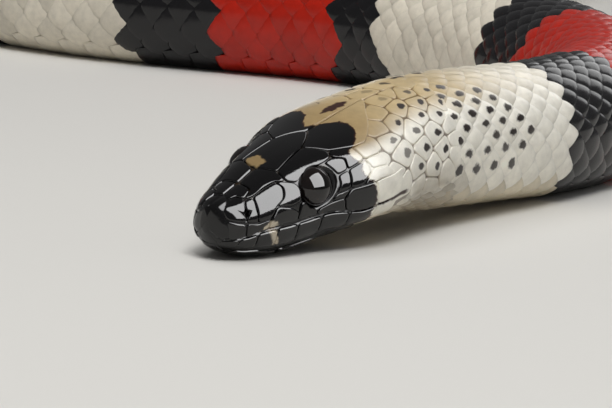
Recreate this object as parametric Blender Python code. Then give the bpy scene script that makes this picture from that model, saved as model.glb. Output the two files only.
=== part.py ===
import math

import bmesh
import bpy
import numpy as np

# Milk snake, life size, lying in its pose on a flat floor. Lengths are in millimetres until scaled at the end.
mm = 0.001
jointGap = 0.3
originShift = (17.79, -143.31)

# Path of the spine seen from above: start at the snout, then heading in degrees at each arc length.
snoutTip = (-8.15, -3.45)
pathStep = 0.25
headingAt = (
    (0, 52.5), (19, 53.7), (30, 54.5), (48, 57.2), (62, 65.5), (75, 82), (89, 99.5), (97, 107.5),
    (107, 115), (124, 129), (138, 148), (151, 159), (164, 156), (176, 145), (189, 131), (204, 124),
    (224, 116), (259, 99), (304, 67), (350, 22), (400, -36), (440, -88), (480, -144), (520, -206),
    (560, -273), (600, -350), (640, -438), (685, -548),
)
bodyLength = 685.0

# Half width, top height and underside height of the body at each arc length.
profileAt = (
    (0, 0.55, 4.62, 2.30), (0.5, 1.65, 4.92, 1.35), (1.5, 2.5, 5.3, 0.70), (3, 3.1, 5.9, 0.30),
    (5, 3.8, 6.95, 0.05), (7, 4.3, 7.9, 0.10), (8.8, 4.75, 8.6, 0.40), (10.5, 5.35, 9.15, 0.80),
    (12.5, 6.2, 9.7, 1.25), (14.5, 6.85, 10.25, 1.70), (16.5, 7.1, 10.8, 2.0), (18.5, 7.1, 11.3, 2.1),
    (21, 6.75, 11.9, 2.0), (24, 6.5, 12.5, 1.7), (28, 6.3, 12.95, 1.35), (34, 6.3, 13.1, 1.0),
    (42, 6.45, 12.9, 0.6), (50, 6.6, 12.7, 0.25), (60, 6.75, 12.75, 0.0), (75, 7.1, 13.05, 0.0),
    (95, 7.6, 13.8, 0.0), (128, 8.3, 15.0, 0.0), (170, 8.6, 15.5, 0.0), (250, 8.9, 15.8, 0.0),
    (430, 8.8, 15.6, 0.0), (520, 7.7, 13.7, 0.0), (585, 6.1, 10.8, 0.0), (600, 5.3, 9.5, 0.0),
    (640, 3.5, 6.3, 0.0), (672, 1.9, 3.5, 0.0), (681, 1.3, 2.4, 0.0), (685, 0.7, 1.4, 0.0),
)
widestShare = 0.45
upperRoundness = ((0, 2.3), (5, 2.5), (15, 2.4), (25, 2.15), (60, 2.1), (685, 2.1))
lowerRoundness = ((0, 2.3), (5, 2.5), (15, 2.4), (25, 2.5), (60, 2.6), (685, 2.5))
rollAt = ((0, 7), (18, 7), (30, 9), (45, 7), (65, 0), (685, 0))
bellySink = 0.5

# Line of the mouth as a height above the middle of the section, from the snout back to its corner.
mouthAt = (
    (0, 1.85), (2, 2.4), (3.8, 3.05), (5.4, 3.4), (7, 3.6), (8.6, 3.9),
    (10.7, 4.35), (13, 4.35), (14.5, 4.75), (16, 5.1), (17.6, 5.5),
)
mouthCorner = 17.45
headEnd = 24.0

eyeRadius = 1.6
eyeThickness = 1.0
eyeDepth = 0.5
eyeSpot = (8.9, 62.3)
nostrilRadius = 0.36
nostrilSpot = (2.15, 64.0)

# Divisions of the trunk by arc length; each bends round less than a right angle.
trunkCuts = (24, 62, 100, 145, 200, 250, 300, 350, 400, 445, 490, 530, 568, 600, 628, 655, 685)
trunkNames = (
    "neck", "trunk_01", "trunk_02", "trunk_03", "trunk_04", "trunk_05", "trunk_06", "trunk_07",
    "trunk_08", "trunk_09", "trunk_10", "trunk_11", "trunk_12", "tail_base", "tail_middle", "tail_tip",
)
scuteLength = 7.6
tailScuteLength = 6.0
scuteLift = 0.35
ringPoints = 18

# Head shields as corners (arc length, degrees round from the top). 200 stands for the line of the mouth.
midShields = {
    "frontal": ((5.75, 0), (6.1, 22), (7.8, 17.5), (9.7, 12), (12.0, 0), (9.7, -12), (7.8, -17.5), (6.1, -22)),
    "rostral": ((1.55, 0), (1.3, 20), (0.65, 40), (0.55, 66), (0.7, 200), (0.05, 200),
                (0.05, -200), (0.7, -200), (0.55, -66), (0.65, -40), (1.3, -20)),
}
sideShields = {
    "internasal": ((1.8, 2), (3.3, 2), (3.4, 20), (2.5, 29), (1.9, 17)),
    "prefrontal": ((3.5, 2), (5.45, 2), (5.85, 21), (5.75, 39), (4.3, 34), (3.2, 32), (3.6, 20)),
    "supraocular": ((6.25, 25), (7.8, 20), (9.8, 15.5), (11.1, 29), (11.2, 38), (9.8, 43), (8.2, 43), (6.4, 43)),
    "parietal": ((12.3, 2), (19.6, 2), (18.6, 10), (16.6, 24), (14.8, 35), (12.6, 36), (11.4, 31), (10.1, 14.5)),
    "nasal_front": ((0.95, 44), (1.8, 21), (2.25, 33), (2.1, 56), (1.9, 77), (1.0, 74)),
    "nasal_rear": ((2.5, 33), (3.1, 35), (3.25, 50), (3.1, 72), (2.3, 77), (2.35, 56)),
    "loreal": ((3.4, 37), (4.3, 37), (5.3, 44), (5.1, 59), (3.6, 66), (3.5, 50)),
    "preocular": ((5.55, 45), (6.5, 46), (6.9, 54), (6.6, 64), (5.6, 67), (5.35, 60)),
    "postocular_top": ((10.6, 43), (11.4, 42), (12.0, 53), (11.2, 57), (10.9, 50)),
    "postocular_low": ((11.2, 59), (12.0, 57), (12.2, 70), (11.3, 73)),
    "temporal_front": ((11.8, 36), (14.5, 38), (13.4, 56), (12.3, 54)),
    "temporal_low": ((12.4, 58), (13.6, 58), (14.3, 70), (12.5, 71)),
    "temporal_rear": ((14.9, 38), (17.0, 42), (15.6, 60), (14.0, 57)),
    "temporal_back": ((15.9, 60), (17.6, 50), (18.6, 62), (17.0, 74), (14.6, 70)),
}
upperLabialSeams = (1.05, 2.3, 3.95, 6.6, 8.9, 11.5, 14.6, 17.4)
upperLabialTops = (80, 80, 70, 70, 80, 76, 74, 78)
lowerLabialSeams = (1.1, 2.3, 3.8, 5.6, 7.7, 10.0, 12.4, 14.8, 17.0)
lowerLabialDrop = 26.0
chinShields = {
    "chin_front": ((2.1, 178), (6.2, 178), (6.4, 160), (4.6, 146), (2.2, 146)),
    "chin_rear": ((6.6, 177), (10.4, 172), (10.2, 160), (6.8, 158)),
}
shieldGap = 0.13
shieldRise = 0.14
shieldRoot = 0.45
shieldSpacing = 2.0


def curveThrough(knots, column, query):
    """Smooth monotone curve through knots, read at query."""
    x = np.array([k[0] for k in knots], float)
    y = np.array([k[column] for k in knots], float)
    width = np.diff(x)
    slope = np.diff(y) / width
    tangent = np.zeros_like(y)
    tangent[0] = slope[0]
    tangent[-1] = slope[-1]
    before = 2 * width[1:] + width[:-1]
    after = width[1:] + 2 * width[:-1]
    same = slope[:-1] * slope[1:] > 0
    low = np.where(same, slope[:-1], 1.0)
    high = np.where(same, slope[1:], 1.0)
    tangent[1:-1] = np.where(same, (before + after) / (before / low + after / high), 0.0)
    q = np.asarray(query, float)
    i = np.clip(np.searchsorted(x, q, side="right") - 1, 0, len(x) - 2)
    t = np.clip((q - x[i]) / width[i], 0, 1)
    rise = (3 - 2 * t) * t**2
    return (1 - rise) * y[i] + rise * y[i + 1] + width[i] * t * (1 - t) * ((1 - t) * tangent[i] - t * tangent[i + 1])


def spine():
    """Arc length, x, y and heading in radians along the whole body."""
    arc = np.arange(0, bodyLength + pathStep / 2, pathStep)
    heading = np.radians(headingCurve(arc))
    dx = np.cos(heading)
    dy = np.sin(heading)
    x = snoutTip[0] + np.concatenate([[0], np.cumsum((dx[1:] + dx[:-1]) / 2)]) * pathStep
    y = snoutTip[1] + np.concatenate([[0], np.cumsum((dy[1:] + dy[:-1]) / 2)]) * pathStep
    return arc, x, y, heading


def headingCurve(arc):
    """Heading in degrees, with tangents averaged over the neighbouring spans so that the turn changes gently."""
    x = np.array([k[0] for k in headingAt], float)
    y = np.array([k[1] for k in headingAt], float)
    width = np.diff(x)
    slope = np.diff(y) / width
    tangent = np.concatenate([slope[:1], slope[:-1], slope[-1:]])
    tangent[1:-1] = (slope[:-1] * width[1:] + slope[1:] * width[:-1]) / (width[:-1] + width[1:])
    i = np.clip(np.searchsorted(x, arc, side="right") - 1, 0, len(x) - 2)
    t = (arc - x[i]) / width[i]
    rise = (3 - 2 * t) * t**2
    return (1 - rise) * y[i] + rise * y[i + 1] + width[i] * t * (1 - t) * ((1 - t) * tangent[i] - t * tangent[i + 1])


pathArc, pathX, pathY, pathHeading = spine()


def midHeight(arc):
    top = curveThrough(profileAt, 2, arc)
    under = curveThrough(profileAt, 3, arc)
    return under + widestShare * (top - under)


def placed(arc, lateral, vertical, lowest=0.0):
    """Points of the section at arc, with lateral and vertical measured in the section, turned by its roll."""
    x = np.interp(arc, pathArc, pathX)
    y = np.interp(arc, pathArc, pathY)
    heading = np.interp(arc, pathArc, pathHeading)
    roll = np.radians(curveThrough(rollAt, 1, arc))
    side = lateral * np.cos(roll) - vertical * np.sin(roll)
    z = midHeight(arc) + lateral * np.sin(roll) + vertical * np.cos(roll)
    z = np.maximum(z, lowest)
    return np.stack(np.broadcast_arrays(x - np.sin(heading) * side, y + np.cos(heading) * side, z), -1)


def section(arc, degrees):
    """Lateral and vertical offsets of the skin at degrees round from the top of the section."""
    angle = np.radians(degrees)
    across = np.sin(angle)
    along = np.cos(angle)
    top = curveThrough(profileAt, 2, arc)
    under = curveThrough(profileAt, 3, arc)
    half = curveThrough(profileAt, 1, arc)
    middle = midHeight(arc)
    roundTop = np.interp(arc, [k[0] for k in upperRoundness], [k[1] for k in upperRoundness])
    roundLow = np.interp(arc, [k[0] for k in lowerRoundness], [k[1] for k in lowerRoundness])
    power = np.where(along > 0, 2 / roundTop, 2 / roundLow)
    sink = bellySink * np.clip((arc - 40) / 20, 0, 1)
    lateral = half * np.sign(across) * np.abs(across) ** power
    vertical = np.where(along > 0, top - middle, -(middle - under + sink)) * np.abs(along) ** power
    return lateral, vertical


def skinPoint(arc, degrees, out=0.0, lowest=0.0):
    """Point out millimetres off the skin."""
    arc, degrees = np.broadcast_arrays(np.asarray(arc, float), np.asarray(degrees, float))
    lateral, vertical = section(arc, degrees)
    nearLat, nearVer = section(arc, degrees - 1.5)
    farLat, farVer = section(arc, degrees + 1.5)
    tangentLat = farLat - nearLat
    tangentVer = farVer - nearVer
    length = np.hypot(tangentLat, tangentVer) + 1e-9
    return placed(arc, lateral - out * tangentVer / length, vertical + out * tangentLat / length, lowest)


def mouthDegrees(arc):
    """Degrees round from the top at which the skin meets the line of the mouth."""
    wanted = curveThrough(mouthAt, 1, arc)
    sweep = np.linspace(60, 140, 161)
    _, vertical = section(np.full_like(sweep, arc), sweep)
    return float(np.interp(wanted - midHeight(arc), vertical[::-1], sweep[::-1]))


def newObject(name, points, faces):
    mesh = bpy.data.meshes.new(name)
    shifted = np.asarray(points, float) + np.array([originShift[0], originShift[1], 0.0])
    mesh.from_pydata((shifted * mm).tolist(), [], faces)
    mesh.validate()
    obj = bpy.data.objects.new(name, mesh)
    bpy.context.scene.collection.objects.link(obj)
    facesOut(obj)
    return obj


def facesOut(obj):
    work = bmesh.new()
    work.from_mesh(obj.data)
    bmesh.ops.recalc_face_normals(work, faces=work.faces)
    if work.calc_volume(signed=True) < 0:
        bmesh.ops.reverse_faces(work, faces=work.faces)
    work.to_mesh(obj.data)
    work.free()


def loft(name, rings):
    """Closed solid through rings of equal count, with a fan at each end."""
    count = len(rings[0])
    points = np.concatenate([*rings, rings[0].mean(axis=0)[None], rings[-1].mean(axis=0)[None]])
    faces = []
    for r in range(len(rings) - 1):
        a = r * count
        b = a + count
        for k in range(count):
            n = (k + 1) % count
            faces.append((a + k, a + n, b + n))
            faces.append((a + k, b + n, b + k))
    first = len(rings) * count
    last = (len(rings) - 1) * count
    for k in range(count):
        n = (k + 1) % count
        faces.append((first, n, k))
        faces.append((first + 1, last + k, last + n))
    return newObject(name, points, faces)


def keepLargest(obj):
    """Drops every closed surface but the largest."""
    work = bmesh.new()
    work.from_mesh(obj.data)
    left = set(work.faces)
    groups = []
    while left:
        seed = left.pop()
        group = [seed]
        stack = [seed]
        while stack:
            face = stack.pop()
            for edge in face.edges:
                for other in edge.link_faces:
                    if other in left:
                        left.remove(other)
                        group.append(other)
                        stack.append(other)
        groups.append(group)
    groups.sort(key=len)
    loose = [face for group in groups[:-1] for face in group]
    bmesh.ops.delete(work, geom=loose, context="FACES")
    strays = [v for v in work.verts if not v.link_faces]
    bmesh.ops.delete(work, geom=strays, context="VERTS")
    bmesh.ops.remove_doubles(work, verts=work.verts, dist=3e-7)
    bmesh.ops.triangulate(work, faces=work.faces)
    work.to_mesh(obj.data)
    work.free()


def combine(obj, pieces, operation, solver):
    """One Boolean of obj with the collection of pieces, applied; the pieces are then removed."""
    group = bpy.data.collections.new("pieces")
    bpy.context.scene.collection.children.link(group)
    group.hide_render = True
    for piece in pieces:
        bpy.context.scene.collection.objects.unlink(piece)
        group.objects.link(piece)
        piece.hide_render = True
        piece.display_type = "WIRE"
    modifier = obj.modifiers.new("join", "BOOLEAN")
    modifier.operation = operation
    modifier.operand_type = "COLLECTION"
    modifier.collection = group
    modifier.solver = solver
    bpy.context.view_layer.objects.active = obj
    bpy.ops.object.modifier_apply(modifier=modifier.name)
    for piece in pieces:
        bpy.data.objects.remove(piece)
    bpy.data.collections.remove(group)
    keepLargest(obj)


def skinOutline(corners):
    """Corners as arc length and degrees, with 200 read as the line of the mouth, drawn in by the gap between shields."""
    found = []
    for arc, degrees in corners:
        if abs(degrees) == 200:
            degrees = math.copysign(mouthDegrees(arc) - 1.2, degrees)
        found.append((arc, degrees))
    outline = np.array(found, float)
    centre = outline.mean(axis=0)
    here = skinPoint(outline[:, 0], outline[:, 1])
    middle = skinPoint(centre[0], centre[1])
    reach = np.linalg.norm(here - middle, axis=1)
    share = np.clip(1 - shieldGap / np.maximum(reach, 0.5), 0.6, 1)[:, None]
    outline = centre + (outline - centre) * share
    dense = []
    for k in range(len(outline)):
        a = outline[k]
        b = outline[(k + 1) % len(outline)]
        span = np.linalg.norm(skinPoint(a[0], a[1]) - skinPoint(b[0], b[1]))
        steps = max(1, int(round(span / shieldSpacing)))
        for j in range(steps):
            dense.append(a + (b - a) * j / steps)
    return np.array(dense), centre


def shield(name, corners):
    """A raised plate that follows the skin, rooted below it."""
    outline, centre = skinOutline(corners)
    count = len(outline)
    here = skinPoint(outline[:, 0], outline[:, 1])
    size = np.linalg.norm(here - here.mean(axis=0), axis=1).max()
    shares = (1.0, 0.7, 0.38) if size > 2.2 else (1.0,)
    rings = [skinPoint(outline[:, 0], outline[:, 1], -shieldRoot)]
    rises = (shieldRise * 0.75, shieldRise, shieldRise)
    for share, rise in zip(shares, rises):
        drawn = centre + (outline - centre) * share
        rings.append(skinPoint(drawn[:, 0], drawn[:, 1], rise))
    crown = skinPoint(centre[0], centre[1], shieldRise)
    root = skinPoint(centre[0], centre[1], -shieldRoot - 0.25)
    points = np.concatenate([*rings, crown[None], root[None]])
    faces = []
    for r in range(len(rings) - 1):
        a = r * count
        b = a + count
        for k in range(count):
            n = (k + 1) % count
            faces.append((a + k, a + n, b + n))
            faces.append((a + k, b + n, b + k))
    last = (len(rings) - 1) * count
    crownIndex = len(rings) * count
    for k in range(count):
        n = (k + 1) % count
        faces.append((last + k, last + n, crownIndex))
        faces.append((n, k, crownIndex + 1))
    return newObject(name, points, faces)


def eyeball(name, side, grow, rows, columns):
    """A closed ball, flattened along the way the eye looks."""
    centre, outward, up, along = eyeFrame(side)
    radius = eyeRadius + grow
    depth = eyeThickness + grow
    points = [centre + outward * depth, centre - outward * depth]
    for r in range(1, rows):
        polar = math.pi * r / rows
        for c in range(columns):
            turn = 2 * math.pi * c / columns
            flat = radius * math.sin(polar)
            offset = flat * (math.cos(turn) * along + math.sin(turn) * up)
            points.append(centre + offset + depth * math.cos(polar) * outward)
    faces = []
    for c in range(columns):
        n = (c + 1) % columns
        faces.append((0, 2 + c, 2 + n))
        bottom = 2 + (rows - 2) * columns
        faces.append((1, bottom + n, bottom + c))
        for r in range(rows - 2):
            a = 2 + r * columns
            b = a + columns
            faces.append((a + c, b + c, b + n))
            faces.append((a + c, b + n, a + n))
    return newObject(name, np.array(points), faces)


def mouthSlab(name, lift, end):
    """Everything below the line of the mouth, from ahead of the snout to end."""
    arcs = np.concatenate([[0.0], np.linspace(0.4, end, 24)])
    heights = curveThrough(mouthAt, 1, np.minimum(arcs, 17.6)) - midHeight(arcs) + lift
    reach = 14.0
    rings = []
    for arc, height in zip(arcs, heights):
        lateral = np.array([-reach, reach, reach, -reach])
        vertical = np.array([height, height, height - reach, height - reach])
        rings.append(placed(arc, lateral, vertical, -reach * 2))
    ahead = rings[0] - 3.0 * np.array([math.cos(pathHeading[0]), math.sin(pathHeading[0]), 0.0])
    return loft(name, [ahead, *rings])


def eyeFrame(side):
    """Centre of the eye and its outward, upward and backward directions."""
    arc, degrees = eyeSpot
    on = skinPoint(arc, side * degrees)
    along = skinPoint(arc + 1, side * degrees) - skinPoint(arc - 1, side * degrees)
    along /= np.linalg.norm(along)
    across = skinPoint(arc, side * (degrees + 8)) - skinPoint(arc, side * (degrees - 8))
    outward = np.cross(along, across) * side
    outward /= np.linalg.norm(outward)
    return on - outward * eyeDepth, outward, np.cross(outward, along), along


def labials(seams, top, bottom):
    """Corner lists of a row of lip shields between the seams."""
    found = []
    for k in range(len(seams) - 1):
        a = seams[k]
        b = seams[k + 1]
        found.append(((a, top(k, a)), (b, top(k + 1, b)), (b, bottom(b)), (0.5 * (a + b), bottom(0.5 * (a + b))), (a, bottom(a))))
    return found


def upperShields():
    pieces = [shield(name, corners) for name, corners in midShields.items()]
    lips = labials(upperLabialSeams, lambda k, s: upperLabialTops[k], lambda s: mouthDegrees(s) - 1.2)
    lists = [*sideShields.values(), *lips]
    for side in (1, -1):
        for corners in lists:
            pieces.append(shield("shield", [(arc, degrees * side) for arc, degrees in corners]))
    return pieces


def lowerShields():
    pieces = []
    lips = labials(
        lowerLabialSeams,
        lambda k, s: mouthDegrees(s) + 1.4,
        lambda s: mouthDegrees(s) + lowerLabialDrop,
    )
    lists = [*chinShields.values(), *lips]
    for side in (1, -1):
        for corners in lists:
            pieces.append(shield("shield", [(arc, degrees * side) for arc, degrees in corners]))
    return pieces


def headLoft(name, start):
    arcs = np.concatenate([[0.0, 0.2, 0.5, 0.9, 1.4], np.arange(2.1, headEnd - 0.6, 1.05), [headEnd - jointGap / 2]])
    arcs = arcs[arcs >= start]
    angles = np.linspace(0, 360, 34, endpoint=False)
    angles = np.where(angles > 180, angles - 360, angles)
    return loft(name, [skinPoint(arc, angles) for arc in arcs])


def nostrilCutters():
    pieces = []
    for side in (1, -1):
        outer = skinPoint(nostrilSpot[0], side * nostrilSpot[1], 0.5)
        inner = skinPoint(nostrilSpot[0], side * nostrilSpot[1], -0.6)
        axis = (inner - outer) / np.linalg.norm(inner - outer)
        first = np.cross(axis, [0, 0, 1.0])
        first /= np.linalg.norm(first)
        second = np.cross(axis, first)
        turns = np.linspace(0, 2 * math.pi, 10, endpoint=False)[:, None]
        circle = np.cos(turns) * first + np.sin(turns) * second * 1.4
        pieces.append(loft("nostril", [outer + circle * nostrilRadius, inner + circle * nostrilRadius * 0.5]))
    return pieces


def buildHead():
    head = headLoft("head", 0.0)
    combine(head, upperShields(), "UNION", "MANIFOLD")
    sockets = [eyeball("socket", side, jointGap, 12, 20) for side in (1, -1)]
    cutters = [*sockets, *nostrilCutters(), mouthSlab("mouth", jointGap / 2, mouthCorner + jointGap)]
    combine(head, cutters, "DIFFERENCE", "MANIFOLD")
    jaw = headLoft("lower_jaw", 0.0)
    combine(jaw, lowerShields(), "UNION", "MANIFOLD")
    combine(jaw, [mouthSlab("below", -jointGap / 2, mouthCorner)], "INTERSECT", "MANIFOLD")
    left = eyeball("eye_left", -1, 0.0, 12, 20)
    right = eyeball("eye_right", 1, 0.0, 12, 20)
    return head, jaw, left, right


def buildLength(name, start, end):
    """One length of the body with its belly scutes stepped in the surface, rear edges flat on the floor."""
    scute = tailScuteLength if start >= 600 else scuteLength
    count = max(2, int(round((end - start) / scute)))
    edges = np.linspace(start + jointGap / 2, end - jointGap / 2, count + 1)
    angles = np.linspace(0, 360, ringPoints, endpoint=False)
    angles = np.where(angles > 180, angles - 360, angles)
    rings = []
    for k in range(count):
        span = edges[k + 1] - edges[k]
        for share, lift in ((0.02, 1.0), (0.38, 0.0), (0.94, 0.0)):
            arc = edges[k] + share * span
            if k == 0 and share < 0.1:
                arc = edges[0]
            if k == count - 1 and share > 0.9:
                arc = edges[-1]
            thick = min(1.0, float(curveThrough(profileAt, 1, arc)) / 4)
            lateral, vertical = section(np.full_like(angles, arc), angles)
            ring = placed(arc, lateral, vertical)
            raised = scuteLift * thick * lift * np.clip((np.abs(angles) - 112) / 20, 0, 1)
            under = float(curveThrough(profileAt, 3, arc))
            ring[:, 2] = np.maximum(ring[:, 2], raised + under * 0.6 * (np.abs(angles) > 112))
            rings.append(ring)
    return loft(name, rings)


def material(name, colour, roughness):
    made = bpy.data.materials.new(name)
    made.use_nodes = True
    shader = made.node_tree.nodes["Principled BSDF"]
    shader.inputs["Base Color"].default_value = (*colour, 1.0)
    shader.inputs["Roughness"].default_value = roughness
    return made


black = (0.012, 0.011, 0.012)
cream = (0.72, 0.66, 0.50)
red = (0.55, 0.06, 0.02)
nodeColours = {
    "head": black, "lower_jaw": cream, "eye_left": (0.004, 0.004, 0.005), "eye_right": (0.004, 0.004, 0.005),
    "neck": cream, "trunk_01": red, "trunk_02": cream, "trunk_03": red, "trunk_04": cream, "trunk_05": red,
    "trunk_06": black, "trunk_07": red, "trunk_08": cream, "trunk_09": red, "trunk_10": black, "trunk_11": red,
    "trunk_12": cream, "tail_base": red, "tail_middle": black, "tail_tip": cream,
}


def main():
    for obj in list(bpy.data.objects):
        bpy.data.objects.remove(obj)
    nodes = list(buildHead())
    for k, name in enumerate(trunkNames):
        nodes.append(buildLength(name, trunkCuts[k], trunkCuts[k + 1]))
    for node in nodes:
        shine = 0.08 if node.name.startswith("eye") else 0.3
        node.data.materials.clear()
        node.data.materials.append(material(node.name + "_material", nodeColours[node.name], shine))
        node.data.shade_smooth()


main()
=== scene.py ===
import math

import bpy
import numpy as np
from mathutils import Matrix


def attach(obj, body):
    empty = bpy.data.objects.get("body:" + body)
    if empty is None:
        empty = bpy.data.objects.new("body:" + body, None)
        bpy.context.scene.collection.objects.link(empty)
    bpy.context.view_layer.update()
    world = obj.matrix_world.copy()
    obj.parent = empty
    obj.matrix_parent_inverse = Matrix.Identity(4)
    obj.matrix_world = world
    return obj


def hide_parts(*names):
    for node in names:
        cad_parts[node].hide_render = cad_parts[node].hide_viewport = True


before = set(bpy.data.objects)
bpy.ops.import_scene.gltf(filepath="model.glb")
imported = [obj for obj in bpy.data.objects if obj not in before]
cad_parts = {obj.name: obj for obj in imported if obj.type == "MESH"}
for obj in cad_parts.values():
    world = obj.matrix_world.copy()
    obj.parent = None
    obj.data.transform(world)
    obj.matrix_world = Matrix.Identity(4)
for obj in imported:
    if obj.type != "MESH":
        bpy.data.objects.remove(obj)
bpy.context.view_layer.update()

mm = 0.001
rng = np.random.default_rng(7)   # one generator, so the order of the draws is part of the look


# form of the body, the same sizes as the CAD, in mm
form = {
    "shift": (17.79, -143.31),
    "snout": (-8.15, -3.45),
    "length": 685.0,
    "heading": (
        (0, 52.5), (19, 53.7), (30, 54.5), (48, 57.2), (62, 65.5), (75, 82), (89, 99.5), (97, 107.5),
        (107, 115), (124, 129), (138, 148), (151, 159), (164, 156), (176, 145), (189, 131), (204, 124),
        (224, 116), (259, 99), (304, 67), (350, 22), (400, -36), (440, -88), (480, -144), (520, -206),
        (560, -273), (600, -350), (640, -438), (685, -548),
    ),
    # arc length, half width, top height, underside height
    "profile": (
        (0, 0.55, 4.62, 2.30), (0.5, 1.65, 4.92, 1.35), (1.5, 2.5, 5.3, 0.70), (3, 3.1, 5.9, 0.30),
        (5, 3.8, 6.95, 0.05), (7, 4.3, 7.9, 0.10), (8.8, 4.75, 8.6, 0.40), (10.5, 5.35, 9.15, 0.80),
        (12.5, 6.2, 9.7, 1.25), (14.5, 6.85, 10.25, 1.70), (16.5, 7.1, 10.8, 2.0), (18.5, 7.1, 11.3, 2.1),
        (21, 6.75, 11.9, 2.0), (24, 6.5, 12.5, 1.7), (28, 6.3, 12.95, 1.35), (34, 6.3, 13.1, 1.0),
        (42, 6.45, 12.9, 0.6), (50, 6.6, 12.7, 0.25), (60, 6.75, 12.75, 0.0), (75, 7.1, 13.05, 0.0),
        (95, 7.6, 13.8, 0.0), (128, 8.3, 15.0, 0.0), (170, 8.6, 15.5, 0.0), (250, 8.9, 15.8, 0.0),
        (430, 8.8, 15.6, 0.0), (520, 7.7, 13.7, 0.0), (585, 6.1, 10.8, 0.0), (600, 5.3, 9.5, 0.0),
        (640, 3.5, 6.3, 0.0), (672, 1.9, 3.5, 0.0), (681, 1.3, 2.4, 0.0), (685, 0.7, 1.4, 0.0),
    ),
    "widest": 0.45,
    "roundTop": ((0, 2.3), (5, 2.5), (15, 2.4), (25, 2.15), (60, 2.1), (685, 2.1)),
    "roundLow": ((0, 2.3), (5, 2.5), (15, 2.4), (25, 2.5), (60, 2.6), (685, 2.5)),
    "roll": ((0, 7), (18, 7), (30, 9), (45, 7), (65, 0), (685, 0)),
    "sink": 0.5,         # how far the belly is pressed down to a flat
    "sinkFrom": 40.0,    # the flat grows in over sinkOver from here
    "sinkOver": 20.0,
    "pathStep": 0.25,
    "tableStep": 0.05,
    "mouth": (
        (0, 1.85), (2, 2.4), (3.8, 3.05), (5.4, 3.4), (7, 3.6), (8.6, 3.9),
        (10.7, 4.35), (13, 4.35), (14.5, 4.75), (16, 5.1), (17.6, 5.5),
    ),
    "mouthCorner": 17.45,
}


def curveThrough(knots, column, query):
    # monotone cubic: the slope at a knot is the weighted harmonic mean of the slopes beside it, or 0 at a turn
    x = np.array([k[0] for k in knots], float)
    y = np.array([k[column] for k in knots], float)
    width = np.diff(x)
    slope = np.diff(y) / width
    tangent = np.zeros_like(y)
    tangent[0], tangent[-1] = slope[0], slope[-1]
    before = 2 * width[1:] + width[:-1]
    after = width[1:] + 2 * width[:-1]
    same = slope[:-1] * slope[1:] > 0
    low = np.where(same, slope[:-1], 1.0)
    high = np.where(same, slope[1:], 1.0)
    tangent[1:-1] = np.where(same, (before + after) / (before / low + after / high), 0.0)
    return hermite(x, y, width, tangent, query)


def hermite(x, y, width, tangent, query):
    # cubic between two knots: the rise 3t^2 - 2t^3 from one height to the next, leaned by the two end slopes
    i = np.clip(np.searchsorted(x, query, side="right") - 1, 0, len(x) - 2)
    t = np.clip((query - x[i]) / width[i], 0, 1)
    rise = (3 - 2 * t) * t**2
    lean = (1 - t) * tangent[i] - t * tangent[i + 1]
    return (1 - rise) * y[i] + rise * y[i + 1] + width[i] * t * (1 - t) * lean


def walked(start, steps):
    # start plus the running sum of the mean of each pair of steps
    return start + np.concatenate([[0], np.cumsum((steps[1:] + steps[:-1]) / 2)]) * form["pathStep"]


def tabulate():
    # everything that depends on the arc length alone, read later by interpolation
    x = np.array([k[0] for k in form["heading"]], float)
    y = np.array([k[1] for k in form["heading"]], float)
    width = np.diff(x)
    slope = np.diff(y) / width
    tangent = np.concatenate([slope[:1], slope[:-1], slope[-1:]])
    tangent[1:-1] = (slope[:-1] * width[1:] + slope[1:] * width[:-1]) / (width[:-1] + width[1:])
    path = np.arange(0, form["length"] + 0.1, form["pathStep"])
    heading = np.radians(hermite(x, y, width, tangent, path))
    pathX = walked(form["snout"][0] + form["shift"][0], np.cos(heading))
    pathY = walked(form["snout"][1] + form["shift"][1], np.sin(heading))
    arc = np.arange(0, form["length"] + 0.03, form["tableStep"])
    found = {
        "arc": arc,
        "x": np.interp(arc, path, pathX),
        "y": np.interp(arc, path, pathY),
        "heading": np.interp(arc, path, heading),
        "half": curveThrough(form["profile"], 1, arc),
        "top": curveThrough(form["profile"], 2, arc),
        "under": curveThrough(form["profile"], 3, arc),
        "roll": np.radians(curveThrough(form["roll"], 1, arc)),
        "mouth": curveThrough(form["mouth"], 1, np.minimum(arc, form["mouth"][-1][0])),
    }
    for name in ("roundTop", "roundLow"):
        found[name] = np.interp(arc, [k[0] for k in form[name]], [k[1] for k in form[name]])
    found["middle"] = found["under"] + form["widest"] * (found["top"] - found["under"])
    return found


table = tabulate()
print("body tabulated at", len(table["arc"]), "places")


def at(name, arc):
    # one column of the table, read in a straight line between its entries
    return np.interp(arc, table["arc"], table[name])


def section(arc, degrees):
    # superellipse: half width and height over the middle, raised to 2/roundness of sine and cosine
    angle = np.radians(degrees)
    across, along = np.sin(angle), np.cos(angle)
    power = 2 / np.where(along > 0, at("roundTop", arc), at("roundLow", arc))
    sink = form["sink"] * np.clip((arc - form["sinkFrom"]) / form["sinkOver"], 0, 1)
    middle = at("middle", arc)
    lateral = at("half", arc) * np.sign(across) * np.abs(across) ** power
    below = -(middle - at("under", arc) + sink)
    vertical = np.where(along > 0, at("top", arc) - middle, below) * np.abs(along) ** power
    return lateral, vertical


def surface(arc, degrees):
    # the section stood across the path, turned about it by the roll
    lateral, vertical = section(arc, degrees)
    roll, heading = at("roll", arc), at("heading", arc)
    side = lateral * np.cos(roll) - vertical * np.sin(roll)
    z = at("middle", arc) + lateral * np.sin(roll) + vertical * np.cos(roll)
    return np.stack([at("x", arc) - np.sin(heading) * side, at("y", arc) + np.cos(heading) * side, z], -1)


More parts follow.
